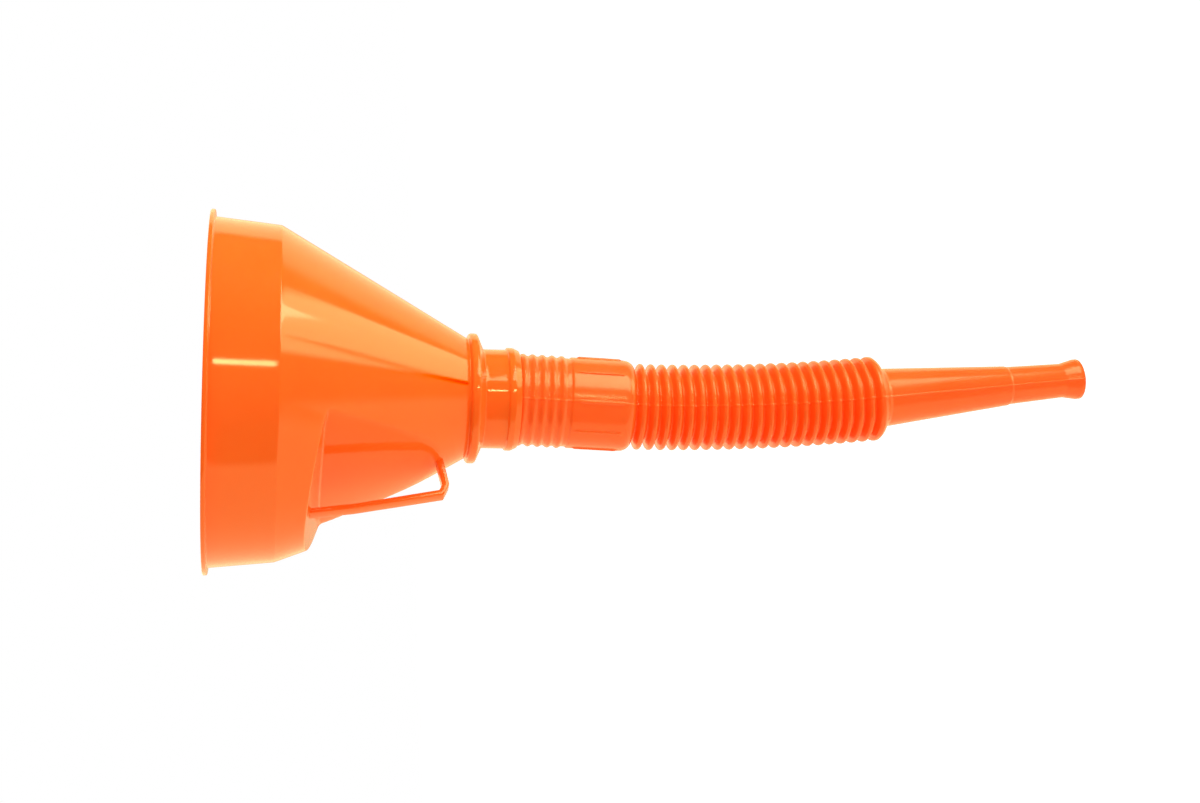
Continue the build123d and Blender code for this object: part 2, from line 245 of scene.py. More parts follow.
def node(tree, kind, **settings):
    """Add a shader node; settings name its properties, or its inputs as text with spaces as _."""
    made = tree.nodes.new(kind)
    for key, value in settings.items():
        if hasattr(made, key):
            setattr(made, key, value)
        else:
            made.inputs[key.replace("_", " ")].default_value = value
    return made


def noise(tree, coordinates, scale, detail=2.0, roughness=0.5):
    made = node(tree, "ShaderNodeTexNoise", Scale=scale, Detail=detail, Roughness=roughness)
    tree.links.new(coordinates, made.inputs["Vector"])
    return made.outputs["Fac"]


def ramp(tree, value, low, high, out_low=0.0, out_high=1.0):
    made = node(tree, "ShaderNodeMapRange", clamp=True)
    made.inputs["From Min"].default_value = low
    made.inputs["From Max"].default_value = high
    made.inputs["To Min"].default_value = out_low
    made.inputs["To Max"].default_value = out_high
    tree.links.new(value, made.inputs["Value"])
    return made.outputs["Result"]


def mix_colour(tree, factor, a, b):
    made = node(tree, "ShaderNodeMix", data_type="RGBA")
    made.inputs["A"].default_value = (*a, 1.0)
    made.inputs["B"].default_value = (*b, 1.0)
    tree.links.new(factor, made.inputs["Factor"])
    return made.outputs["Result"]


PLASTIC_IOR = 1.5
PLASTIC_SHEEN = 0.5
RECESS_SHADED_SHEEN = 0.2                  # painted shade: reflections in the recess are turned down, standing in for the shaded table below it
SHEEN_TINT = (1.0, 0.86, 0.62)      # warm, as the reflections on the orange plastic are
SCATTER_SPREAD = (1.0, 0.35, 0.08)  # red spreads furthest below the surface
SCATTER_DEPTH = 3.0 * MM
THROUGH_LIGHT = (1.0, 0.06, 0.0)    # painted glow: emission that stands in for light coming through the thin walls

# Noise scales per metre: drift of the colour, handling marks, long sink waves and tarnish on brass.
TONE_SCALE = 18.0
SMEAR_SCALE = 60.0
WAVE_SCALE = 26.0
TARNISH_SCALE = 120.0


def moulded_plastic(name, deep, light, roughness, grain, grain_depth, waviness, glow, through):
    """Coloured moulded plastic with soft scatter, fine grain and long sink waves.

    The colour drifts between deep and light, and handling marks raise the roughness by up to half.
    Grain is the noise scale, grain_depth and waviness are bump heights, glow is the share of light
    scattered below the surface and through is the strength of a painted glow through the wall.
    """
    material, tree, shader = new_material(name)
    place = node(tree, "ShaderNodeTexCoord").outputs["Object"]
    tone = noise(tree, place, TONE_SCALE, 4.0, 0.55)
    colour = mix_colour(tree, ramp(tree, tone, 0.3, 0.7), deep, light)
    tree.links.new(colour, shader.inputs["Base Color"])

    smear = noise(tree, place, SMEAR_SCALE, 6.0, 0.6)
    gloss = ramp(tree, smear, 0.35, 0.75, roughness, roughness * 1.5)
    tree.links.new(gloss, shader.inputs["Roughness"])
    shader.inputs["IOR"].default_value = PLASTIC_IOR
    # painted shade: where the recess attribute is set, the specular level drops and darkens the reflections there
    shaded = node(tree, "ShaderNodeAttribute", attribute_name="recess").outputs["Fac"]
    sheen_with_painted_shade = ramp(tree, shaded, 0.0, 1.0, PLASTIC_SHEEN, RECESS_SHADED_SHEEN)
    tree.links.new(sheen_with_painted_shade, shader.inputs["Specular IOR Level"])
    shader.inputs["Specular Tint"].default_value = (*SHEEN_TINT, 1.0)
    shader.inputs["Subsurface Weight"].default_value = glow
    shader.inputs["Subsurface Radius"].default_value = SCATTER_SPREAD
    shader.inputs["Subsurface Scale"].default_value = SCATTER_DEPTH
    # painted glow: a faint red emission stands in for light coming through the thin walls
    shader.inputs["Emission Color"].default_value = (*THROUGH_LIGHT, 1.0)
    shader.inputs["Emission Strength"].default_value = through

    waves = node(tree, "ShaderNodeBump", Strength=1.0, Distance=waviness)
    tree.links.new(noise(tree, place, WAVE_SCALE, 1.0), waves.inputs["Height"])
    grains = node(tree, "ShaderNodeBump", Strength=1.0, Distance=grain_depth)
    tree.links.new(noise(tree, place, grain, 3.0), grains.inputs["Height"])
    tree.links.new(waves.outputs["Normal"], grains.inputs["Normal"])
    tree.links.new(grains.outputs["Normal"], shader.inputs["Normal"])
    return material


BRASS_CLEAN = (0.74, 0.50, 0.19)
BRASS_TARNISHED = (0.52, 0.32, 0.12)


def brass_wire():
    """Brass wire with patches of light tarnish, which are darker and rougher."""
    material, tree, shader = new_material("brass_wire")
    place = node(tree, "ShaderNodeTexCoord").outputs["Object"]
    tarnish = noise(tree, place, TARNISH_SCALE, 5.0, 0.6)
    colour = mix_colour(tree, ramp(tree, tarnish, 0.35, 0.7), BRASS_CLEAN, BRASS_TARNISHED)
    tree.links.new(colour, shader.inputs["Base Color"])
    tree.links.new(ramp(tree, tarnish, 0.3, 0.7, 0.22, 0.42), shader.inputs["Roughness"])
    shader.inputs["Metallic"].default_value = 1.0
    return material


BOWL_PLASTIC = moulded_plastic(
    "bowl_plastic",
    deep=(0.88, 0.120, 0.010),
    light=(0.92, 0.136, 0.013),
    roughness=0.07,
    grain=900.0,
    grain_depth=0.002 * MM,
    waviness=0.010 * MM,
    glow=0.25,
    through=0.15,
)
SPOUT_PLASTIC = moulded_plastic(
    "spout_plastic",
    deep=(0.88, 0.102, 0.010),
    light=(0.92, 0.118, 0.013),
    roughness=0.17,
    grain=1400.0,
    grain_depth=0.005 * MM,
    waviness=0.012 * MM,
    glow=0.35,
    through=0.20,
)
STRAINER_PLASTIC = moulded_plastic(
    "strainer_plastic",
    deep=(0.86, 0.120, 0.010),
    light=(0.90, 0.136, 0.013),
    roughness=0.28,
    grain=1600.0,
    grain_depth=0.006 * MM,
    waviness=0.006 * MM,
    glow=0.2,
    through=0.15,
)
BRASS = brass_wire()


# ---------------------------------------------------------------- bowl
def cone_radius(depth):
    return CORNER_RADIUS - CONE_SLOPE * (depth - CORNER_DEPTH)


def circle_through(reach, depth):
    """Shift towards the handle and radius of the circle through `reach` and the recess's two sides."""
    side_x = cone_radius(depth) * math.cos(RECESS_HALF)
    side_y = cone_radius(depth) * math.sin(RECESS_HALF)
    rise = reach - side_x
    radius = (side_y**2 + rise**2) / (2 * rise)
    return reach - radius, radius


class SlantCone:
    """Cone through two level circles, each (depth, shift towards the handle, radius)."""

    def __init__(self, upper, lower):
        self.upper = np.array(upper)
        self.slope = (np.array(lower) - self.upper) / (lower[0] - upper[0])

    def radius(self, depth, angle, inset):
        """Distance from the bowl's axis at an angle from the handle plane."""
        _, shift, radius = self.upper + self.slope * (depth - self.upper[0])
        radius = radius - inset / math.cos(math.atan(self.slope[1] + self.slope[2]))
        return shift * math.cos(angle) + math.sqrt(radius**2 - (shift * math.sin(angle)) ** 2)


SHELF = SlantCone(
    (CORNER_DEPTH, 0.0, CORNER_RADIUS),
    (CREASE_DEPTH, *circle_through(CREASE_RADIUS, CREASE_DEPTH)),
)
FLOOR = SlantCone(
    (FLOOR_TOP, *circle_through(FLOOR_REACH, FLOOR_TOP)),
    (FLOOR_END, 0.0, cone_radius(FLOOR_END)),
)


def meet_step(surface, angle, inset):
    """Depth where a surface crosses the step's plane, at an angle from the handle plane."""
    depth = CREASE_DEPTH
    for _ in range(30):
        reach = surface(depth, angle, inset) * math.cos(angle)
        depth = CREASE_DEPTH + STEP_SLOPE * (CREASE_RADIUS - reach) - inset
    return depth


def above_step(depth, angle, inset):
    """Skin above the step: the cone, or the shelf where that stands proud."""
    cone = cone_radius(depth) - inset / math.cos(math.atan(CONE_SLOPE))
    return max(cone, SHELF.radius(depth, angle, inset))


def below_step(depth, angle, inset):
    """Skin below the step: the cone, or the recessed floor where that lies deeper."""
    cone = cone_radius(depth) - inset / math.cos(math.atan(CONE_SLOPE))
    if depth > FLOOR_END:
        return cone
    return min(cone, FLOOR.radius(depth, angle, inset))


STEP_MIN = 1.2 * MM          # rows kept apart where the step has run out
ABOVE_STEP = 2.5 * MM        # room for the crease's rounding
BELOW_STEP = 3.0 * MM        # room for the rounding at the step's foot
CONE_TOP = CORNER_DEPTH + 2.0 * MM
CONE_BOTTOM = CONE_END - 2.0 * MM


def side_profile(angle, inset):
    """(radius, depth) rows down one side of the bowl, from the corner to the cone's end."""
    crease = meet_step(above_step, angle, inset)
    foot = max(meet_step(below_step, angle, inset), crease + STEP_MIN)
    before = crease - ABOVE_STEP
    after = foot + BELOW_STEP
    rows = []
    for depth in np.linspace(CONE_TOP, before, 18)[:-1]:
        rows.append((above_step(depth, angle, inset), depth))
    corners = [
        (above_step(before, angle, inset), before),
        (above_step(crease, angle, inset), crease),
        (below_step(foot, angle, inset), foot),
        (below_step(after, angle, inset), after),
    ]
    rows += [tuple(p) for p in step_rows(corners)]
    for depth in np.linspace(after, CONE_BOTTOM, 60)[1:]:
        rows.append((below_step(depth, angle, inset), depth))
    return rows


def step_rows(corners):
    """Rows over the step, with its two corners rounded; the count is the same at every angle."""
    points = [np.array(c) for c in corners]
    rows = [points[0]]
    for before, corner, after, radius in (
        (points[0], points[1], points[2], CREASE_ROUND),
        (points[1], points[2], points[3], FOOT_ROUND),
    ):
        a = before - corner
        b = after - corner
        room = 0.46 * min(np.linalg.norm(a), np.linalg.norm(b))
        a = a / np.linalg.norm(a)
        b = b / np.linalg.norm(b)
        half = math.acos(max(-1.0, min(1.0, float(a @ b)))) / 2
        reach = min(max(radius / math.tan(half), 0.3 * MM), room)
        for f in np.linspace(0, 1, 9):
            rows.append(corner + a * reach * (1 - f) ** 2 + b * reach * f**2)
    rows.append(points[3])
    return rows


INNER_CONE = WALL / math.cos(math.atan(CONE_SLOPE))      # the wall, measured level
BOWL_COLUMNS = 432
BAND_STEP = 2.0 * MM
NECK_STEP = 1.2 * MM


def rim_rows():
    """(radius, depth) rows from inside the mouth over the rim flange to the top of the band."""
    return rounded_profile(
        [
            (BAND_TOP_RADIUS - WALL, MOUTH_DEPTH),
            (BAND_TOP_RADIUS - WALL + 0.1 * MM, 0, 0.7 * MM),
            (RIM_RADIUS, 0, RIM_FILLET),
            (RIM_RADIUS, RIM_THICKNESS, RIM_FILLET),
            (BAND_TOP_RADIUS, RIM_THICKNESS, 0.5 * MM),
            (BAND_TOP_RADIUS - 0.3 * MM, RIM_THICKNESS + 3.0 * MM),
        ]
    )


def band_rows(start):
    """Rows down the band's outside and round its lower corner, to the top of the cone."""
    low_radius = BAND_TOP_RADIUS - (BAND_TOP_RADIUS - CORNER_RADIUS) * 0.9
    low_depth = CORNER_DEPTH - 0.1 * (CORNER_DEPTH - RIM_THICKNESS)
    band = refined(np.array([start, (low_radius, low_depth)]), BAND_STEP)[1:]
    corner = rounded_profile(
        [
            (low_radius, low_depth),
            (CORNER_RADIUS, CORNER_DEPTH, 1.8 * MM),
            (cone_radius(CONE_TOP), CONE_TOP),
        ]
    )[1:-1]
    return np.concatenate([band, corner])


def neck_rows():
    """Rows over the collar and bead, round the neck's end and up its bore to the strainer's seat."""
    neck = rounded_profile(
        [
            (cone_radius(CONE_BOTTOM), CONE_BOTTOM),
            (cone_radius(CONE_END), CONE_END, 0.5 * MM),
            (COLLAR_RADIUS, CONE_END + 0.6 * MM, 1.3 * MM),
            (COLLAR_RADIUS, CONE_END + COLLAR_CREST, 1.3 * MM),
            (NECK_RADIUS, COLLAR_END, 0.8 * MM),
            (NECK_RADIUS, BEAD_TOP, 0.3 * MM),
            (BEAD_RADIUS, BEAD_TOP + 0.6 * MM, 0.6 * MM),
            (BEAD_RADIUS, BEAD_TOP + BEAD_CREST, 0.8 * MM),
            (NECK_RADIUS - 0.4 * MM, NECK_END, 0.4 * MM),
            (NECK_BORE, NECK_END, 0.3 * MM),
            (NECK_BORE, SEAT, 0.4 * MM),
            (cone_radius(SEAT) - INNER_CONE, SEAT, 0.4 * MM),
            (cone_radius(CONE_BOTTOM) - INNER_CONE, CONE_BOTTOM),
        ],
        steps=5,
    )
    return refined(neck, NECK_STEP)[1:-1]


def inner_band_rows():
    """Rows up the inside of the band, from the cone to the mouth."""
    corners = [
        (cone_radius(CONE_TOP) - INNER_CONE, CONE_TOP),
        (CORNER_RADIUS - WALL, CORNER_DEPTH),
        (BAND_TOP_RADIUS - WALL, MOUTH_DEPTH),
    ]
    return refined(np.array(corners), BAND_STEP)[1:-1]


def bowl_skin():
    """Outer and inner skins of the bowl as one closed surface."""
    rim = rim_rows()
    band = band_rows(rim[-1])
    neck = neck_rows()
    inner_band = inner_band_rows()
    rings = []
    for column in range(BOWL_COLUMNS):
        angle = FULL_TURN * column / BOWL_COLUMNS
        fold = min(angle, FULL_TURN - angle)
        outer = side_profile(fold, 0.0)
        inner = side_profile(fold, WALL)[::-1]
        rows = [*rim, *band, *outer, *neck, *inner, *inner_band]
        rings.append([(-r * math.cos(angle), -r * math.sin(angle), -s) for r, s in rows])
    points = np.array(rings).transpose(1, 0, 2)
    bowl = grid_object("bowl_skin", points, BOWL_PLASTIC)
    mark_recess(bowl, points, len(rim) + len(band), len(outer))
    return bowl


def mark_recess(bowl, points, first, count):
    """Store how far the outer cone's rows, count of them from first, are cut back by the recess; the material
    paints shade into the recess's reflections with it.
    """
    cone = points[first : first + count]
    cut_back = cone_radius(-cone[..., 2]) - np.hypot(cone[..., 0], cone[..., 1])
    weight = np.zeros(points.shape[:2])
    weight[first : first + count] = np.clip(cut_back / RECESS_EDGE, 0, 1)
    bowl.data.attributes.new("recess", "FLOAT", "POINT").data.foreach_set("value", weight.ravel())


def strap_outline():
    """Closed outline of the strap as (reach from the axis, depth): down its outside, up its inside."""
    top = np.array((61.2, 44.6)) * MM
    knee = np.array((58.5, 63.9)) * MM
    heel = np.array((51.0, 102.3)) * MM
    bend = np.array((45.5, 104.8)) * MM
    foot = np.array((32.6, 102.2)) * MM
    level = np.array((STRAP_THICK, 0.0))
    upright = np.array((0.0, STRAP_FOOT_THICK))
    inner_heel = heel - level - np.array((0.0, 1.9)) * MM
    inner_bend = bend - upright + np.array((0.1, 0.0)) * MM
    outside = [top, knee, heel, bend, foot]
    inside = [foot - upright, inner_bend, inner_heel, knee - level, top - level]
    return outside + inside


def hanging_strap():
    """The strap beside the recess: a flat bar with a slight knee and a turned-in foot."""
    mesh = bpy.data.meshes.new("hanging_strap")
    work = bmesh.new()
    outline = strap_outline()
    sides = []
    for y in (-STRAP_WIDTH / 2, STRAP_WIDTH / 2):
        sides.append([work.verts.new((-reach, y, -depth)) for reach, depth in outline])
    count = len(outline)
    for k in range(count):
        after = (k + 1) % count
        work.faces.new((sides[0][k], sides[0][after], sides[1][after], sides[1][k]))
    # Side faces as quads between the outer and the inner line.
    for side in sides:
        for k in range(count // 2 - 1):
            work.faces.new((side[k], side[k + 1], side[count - 2 - k], side[count - 1 - k]))
    bmesh.ops.recalc_face_normals(work, faces=work.faces)
    edges = [e for e in work.edges if e.calc_face_angle(0) > math.radians(8)]
    bmesh.ops.bevel(
        work,
        geom=edges,
        offset=STRAP_SOFTENING,
        segments=3,
        profile=0.5,
        affect="EDGES",
        clamp_overlap=True,
    )
    work.to_mesh(mesh)
    work.free()
    return finish_object("hanging_strap", mesh, BOWL_PLASTIC)


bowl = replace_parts(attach(bowl_skin(), "bowl"), "bowl")
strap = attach(hanging_strap(), "bowl")

# ---------------------------------------------------------------- spout centreline
hinges = [Vector(j["pos_m"]) for j in frame["joints"] if j["name"].startswith("bellows_bend")]
outlet = next(m for m in frame["record"]["mounts"] if m["name"] == "outlet")
nozzle_down = Vector(outlet["axis"]).normalized()
PITCH = (hinges[1] - hinges[0]).length


class Station:
    """A point of the centreline with its direction and two cross directions."""

    def __init__(self, centre, down):
        self.centre = np.array(centre)
        self.down = np.array(Vector(down).normalized())
        self.across = np.array((-self.down[2], 0.0, self.down[0]))
        self.side = np.array((0.0, 1.0, 0.0))

    def moved(self, distance):
        return Station(self.centre + self.down * distance, self.down)

    def ring(self, radii, angles):
        cross = np.outer(np.cos(angles), self.across) + np.outer(np.sin(angles), self.side)
        return self.centre + cross * np.asarray(radii)[:, None]


crests = []
for upper, lower in zip(hinges, hinges[1:]):
    crests.append(Station((upper + lower) / 2, lower - upper))
nozzle_root = Station(hinges[-1], nozzle_down)
crests.append(nozzle_root.moved(PITCH / 2))

# The sleeve runs straight down the neck, sags where the neck ends, then runs straight to the first root.
SAG_DEPTH = 135.7 * MM
SAG_LENGTH = 1.6 * MM
sag_point = Vector((0, 0, -SAG_DEPTH))
sleeve_down = (hinges[0] - sag_point).normalized()
SAG_ANGLE = math.atan2(-sleeve_down.x, -sleeve_down.z)
FIRST_ROOT = SAG_DEPTH + (hinges[0] - sag_point).length


def sleeve_station(depth):
    """Station of the sleeve at a distance below the rim, measured along its centreline."""
    turn = min(max((depth - SAG_DEPTH) / SAG_LENGTH + 0.5, 0.0), 1.0)
    if turn <= 0:
        return Station((0, 0, -depth), (0, 0, -1))
    if turn >= 1:
        return Station(sag_point + sleeve_down * (depth - SAG_DEPTH), sleeve_down)
    tilt = SAG_ANGLE * turn
    drift = SAG_LENGTH * turn * math.tan(tilt / 2)
    return Station((-drift, 0, -depth), (-math.sin(tilt), 0, -math.cos(tilt)))


# ---------------------------------------------------------------- spout skins
RING_COLUMNS = 216
SEAM_OFFSETS = np.radians([-2.4, -1.6, -0.9, -0.4, 0.0, 0.4, 0.9, 1.6, 2.4])


def turned_from(angles, start):
    """Signed angle from start, between minus and plus half a turn."""
    return (angles - start + math.pi) % FULL_TURN - math.pi


def spout_angles():
    """Ring angles, closer together at the two moulding seams."""
    even = np.arange(RING_COLUMNS) * FULL_TURN / RING_COLUMNS
    seams = [SEAM_ANGLE + SEAM_OFFSETS, SEAM_ANGLE + math.pi + SEAM_OFFSETS]
    seams = np.concatenate(seams) % FULL_TURN
    gap = 0.24 * FULL_TURN / RING_COLUMNS
    keep = [angle for angle in even if np.min(np.abs(turned_from(seams, angle))) > gap]
    return np.sort(np.concatenate([keep, seams]))


def seam_relief(angles):
    """Height of the moulding seam's fine ridge around the ring."""
    relief = np.zeros_like(angles)
    for seam in (SEAM_ANGLE, SEAM_ANGLE + math.pi):
        relief += SEAM_HEIGHT * np.exp(-((turned_from(angles, seam) / SEAM_HALF) ** 2))
    return relief


ANGLES = spout_angles()
SEAM = seam_relief(ANGLES)


def wave():
    """(distance, radius) from one crest down into the root and up to the next crest."""
    rise = (CREST_RADIUS - CREST_ROUND) - (ROOT_RADIUS + ROOT_ROUND)
    run = PITCH / 2
    flank = math.atan2(rise, run) + math.asin((CREST_ROUND + ROOT_ROUND) / math.hypot(rise, run))
    half = []
    for f in np.linspace(0, 1, 8):
        turn = f * flank
        half.append((CREST_ROUND * math.sin(turn), CREST_RADIUS - CREST_ROUND * (1 - math.cos(turn))))
    for f in np.linspace(0, 1, 6):
        turn = (1 - f) * flank
        half.append((run - ROOT_ROUND * math.sin(turn), ROOT_RADIUS + ROOT_ROUND * (1 - math.cos(turn))))
    half.insert(1, (CREST_FLAT, CREST_RADIUS))
    other = [(PITCH - x, r) for x, r in half[-2::-1]]
    return np.array(half + other)


def inward(profile, wall):
    """The profile moved inwards by a wall thickness."""
    tangent = np.gradient(profile, axis=0)
    tangent /= np.linalg.norm(tangent, axis=1)[:, None]
    normal = np.stack([tangent[:, 1], -tangent[:, 0]], axis=1)
    return profile + normal * wall


def between(first, second, share):
    """Station part of the way from one crest to the next, bowed a little so that the curve is smooth."""
    down = Vector(first.down).lerp(Vector(second.down), share)
    centre = first.centre + (second.centre - first.centre) * share
    bow = (first.down - second.down) * ((1 - share) * share * PITCH * FOLD_BOW)
    return Station(centre + bow, down)


def ring_name(index):
    """Name of the ring that holds a crest, which is both a CAD node and a body."""
    return f"bellows_ring_{index + 1:02d}"


def blend_between(piece, start):
    """Bake the transform of a piece of the spout into its mesh."""
    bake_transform(piece)


def bellows_fold(index):
    """One fold of the bellows, from a crest to the next one."""
    outer = wave()
    inner = inward(outer, SPOUT_WALL)
    first = crests[index]
    second = crests[index + 1]
    rows = []
    for distance, radius in outer:
        station = between(first, second, distance / PITCH)
        rows.append(station.ring(radius + SEAM, ANGLES))
    for distance, radius in inner[::-1]:
        station = between(first, second, min(max(distance / PITCH, 0.0), 1.0))
        rows.append(station.ring(np.full(len(ANGLES), radius), ANGLES))
    fold = grid_object(f"bellows_fold_{index + 1:02d}", np.array(rows), SPOUT_PLASTIC)
    blend_between(fold, first)
    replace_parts(fold, ring_name(index))


def bump(offset, half, edge):
    """1 within half of zero, falling smoothly to 0 over edge."""
    t = np.clip((np.abs(offset) - half) / edge, 0, 1)
    return 1 - t * t * (3 - 2 * t)


GRIP_SPAN = FULL_TURN / GRIP_RIBS                # angle from one grip rib to the next
FINE_HALF = 1.1 * MM / GRIP_RADIUS               # half the angle around a rib with fine columns


def sleeve_angles():
    """Ring angles fine enough for the lengthwise grip ribs."""
    centres = SEAM_ANGLE + np.arange(GRIP_RIBS) * GRIP_SPAN
    on_rib = np.linspace(-FINE_HALF, FINE_HALF, 15)
    off_rib = np.linspace(FINE_HALF, GRIP_SPAN - FINE_HALF, 22)[1:-1]
    fine = (centres[:, None] + on_rib[None, :]).ravel()
    coarse = (centres[:, None] + off_rib[None, :]).ravel()
    back = SEAM_ANGLE + math.pi + np.linspace(-SEAM_HALF, SEAM_HALF, 5)
    angles = np.concatenate([fine, coarse, back]) % FULL_TURN
    return np.unique(np.round(angles, 6))


def sleeve_profile():
    """(depth, radius) down the sleeve's outside, from its top end to the first crest."""
    rows = [(SLEEVE_TOP, GROOVE_RADIUS - 0.3 * MM), (SLEEVE_TOP + 0.3 * MM, GROOVE_RADIUS)]
    height = RIB_RADIUS - GROOVE_RADIUS
    for rib in range(RIB_COUNT):
        middle = FIRST_RIB + rib * RIB_PITCH
        for f in np.linspace(-1, 1, 17):
            shape = math.cos(f * math.pi / 2) ** 1.3
            rows.append((middle + f * RIB_HALF_WIDTH, GROOVE_RADIUS + height * shape))
    grip = rounded_profile(
        [
            (GRIP_TOP - 0.6 * MM, GROOVE_RADIUS),
            (GRIP_TOP, GROOVE_RADIUS, 0.5 * MM),
            (GRIP_TOP + 0.8 * MM, GRIP_RADIUS, 0.8 * MM),
            (GRIP_TOP + 3.0 * MM, GRIP_RADIUS),
        ]
    )
    rows += [tuple(p) for p in grip]
    rows += [tuple(p) for p in refined(np.array([grip[-1], (GRIP_END, GRIP_RADIUS)]), 0.6 * MM)[1:]]
    # The grip closes in to the first root by a quarter of an ellipse, cut just short of its end.
    shoulder = FIRST_ROOT - ROOT_ROUND * 0.9
    for turn in np.linspace(0, math.radians(84), 14)[1:]:
        depth = GRIP_END + (shoulder - GRIP_END) * math.sin(turn)
        rows.append((depth, GRIP_RADIUS - GRIP_SHOULDER * (1 - math.cos(turn))))
    tail = wave()
    root = int(np.argmin(tail[:, 1]))
    for distance, radius in tail[root - 4 :]:
        rows.append((FIRST_ROOT - PITCH / 2 + distance, radius))
    return np.array(rows)


def sleeve_bore():
    """(depth, radius) up the sleeve's inside, from the first crest to its top end."""
    bore = rounded_profile(
        [
            (FIRST_ROOT + PITCH / 2, CREST_RADIUS - SPOUT_WALL),
            (FIRST_ROOT, ROOT_RADIUS - SPOUT_WALL, 0.6 * MM),
            (GRIP_END - 1.0 * MM, GRIP_RADIUS - 1.8 * MM, 2.0 * MM),
            (SLEEVE_TOP, GROOVE_RADIUS - 1.4 * MM),
        ]
    )
    return refined(bore, 2.0 * MM)


def grip_ribs_along(depth):
    """1 on the length of the grip that has ribs, falling to 0 at both of their ends."""
    middle = (GRIP_TOP + 2.0 * MM + GRIP_END) / 2
    return bump(depth - middle, (GRIP_END - GRIP_TOP) / 2 - 3.2 * MM, 1.6 * MM)


def grip_ribs_around(angles):
    """1 on a grip rib, falling to 0 between ribs."""
    turn = (angles - SEAM_ANGLE) / GRIP_SPAN
    return bump((turn - np.round(turn)) * GRIP_SPAN * GRIP_RADIUS, GRIP_RIB_HALF, GRIP_RIB_EDGE)


def spout_sleeve():
    """Ribbed sleeve, grip and the near side of the first fold."""
    angles = sleeve_angles()
    seam = seam_relief(angles)
    around = GRIP_RIB_HEIGHT * grip_ribs_around(angles)
    crest = crests[0]
    last = sleeve_station(FIRST_ROOT)

    def place(depth):
        if depth <= FIRST_ROOT:
            return sleeve_station(depth)
        share = (depth - FIRST_ROOT) / (PITCH / 2)
        down = Vector(last.down).lerp(Vector(crest.down), min(share, 1.0))
        return Station(last.centre + (crest.centre - last.centre) * share, down)

    rows = []
    for depth, radius in sleeve_profile():
        relief = np.maximum(seam, around * grip_ribs_along(depth))
        rows.append(place(depth).ring(radius + relief, angles))
    for depth, radius in sleeve_bore():
        rows.append(place(depth).ring(np.full(len(angles), radius), angles))
    sleeve = grid_object("spout_sleeve", np.array(rows), SPOUT_PLASTIC)
    blend_between(sleeve, last.moved(-1.5 * MM))
    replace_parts(sleeve, "spout_connector")


def nozzle_profile():
    """(distance below the last root, radius) round the nozzle's wall.

    It starts at the crest above the last root, goes down the outside and comes back up the inside.
    """
    head = wave() - np.array([PITCH / 2, 0])
    crest = PITCH / 2
    outside = [
        (crest, CREST_RADIUS),
        (crest + 1.1 * MM, CREST_RADIUS, 1.6 * MM),
        (crest + 2.8 * MM, CREST_RADIUS - 1.5 * MM, 2.2 * MM),
        (NOZZLE_TOP - 0.2 * MM, NOZZLE_TOP_RADIUS + 0.5 * MM, 0.6 * MM),
        (NOZZLE_TOP + 1.0 * MM, NOZZLE_TOP_RADIUS - 0.1 * MM, 0.8 * MM),
        (NOZZLE_STEP, NOZZLE_STEP_RADIUS, 0.6 * MM),
        (NOZZLE_STEP + 1.0 * MM, NOZZLE_STEP_RADIUS - 0.4 * MM, 0.6 * MM),
        (NOZZLE_WAIST, NOZZLE_WAIST_RADIUS, 6.0 * MM),
        (OUTLET_LAND, OUTLET_RADIUS, 2.0 * MM),
        (NOZZLE_LENGTH, OUTLET_RADIUS, 0.35 * MM),
    ]
    inside = [
        (NOZZLE_LENGTH, OUTLET_RADIUS - 1.2 * MM, 0.3 * MM),
        (OUTLET_LAND, OUTLET_RADIUS - 1.4 * MM, 2.0 * MM),
        (NOZZLE_WAIST, NOZZLE_WAIST_RADIUS - 1.2 * MM, 6.0 * MM),
        (NOZZLE_STEP, NOZZLE_STEP_RADIUS - 1.4 * MM, 2.0 * MM),
        (NOZZLE_TOP, NOZZLE_TOP_RADIUS - 1.2 * MM, 2.0 * MM),
        (crest + 1.0 * MM, CREST_RADIUS - 1.4 * MM, 1.0 * MM),
        (0.0, ROOT_RADIUS - SPOUT_WALL, 0.6 * MM),
        (-PITCH / 2, CREST_RADIUS - SPOUT_WALL),
    ]
    body = refined(rounded_profile(outside + inside), 1.5 * MM)
    return np.concatenate([head[:-2], body])


def spout_nozzle():
    """Last fold, shoulder and tapered nozzle with its flared outlet."""
    first = crests[-2]
    last = crests[-1]
    last_ring = ring_name(len(crests) - 2)
    rows = []
    for distance, radius in nozzle_profile():
        share = (distance + PITCH / 2) / PITCH
        if share < 1:
            station = between(first, last, max(share, 0.0))
        else:
            station = nozzle_root.moved(distance)
        rows.append(station.ring(radius + SEAM, ANGLES))
    skin = grid_object("spout_nozzle_skin", np.array(rows), SPOUT_PLASTIC)
    blend_between(skin, first)
    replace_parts(skin, "spout_nozzle", last_ring)


spout_sleeve()
for fold_index in range(len(crests) - 2):
    bellows_fold(fold_index)
spout_nozzle()

# ---------------------------------------------------------------- strainer
frame["nodes"]["strainer_frame"].data.materials.clear()
frame["nodes"]["strainer_frame"].data.materials.append(STRAINER_PLASTIC)

MESH_PITCH = 1.1 * MM
WIRE_RADIUS = 0.15 * MM
WIRE_SIDES = 6


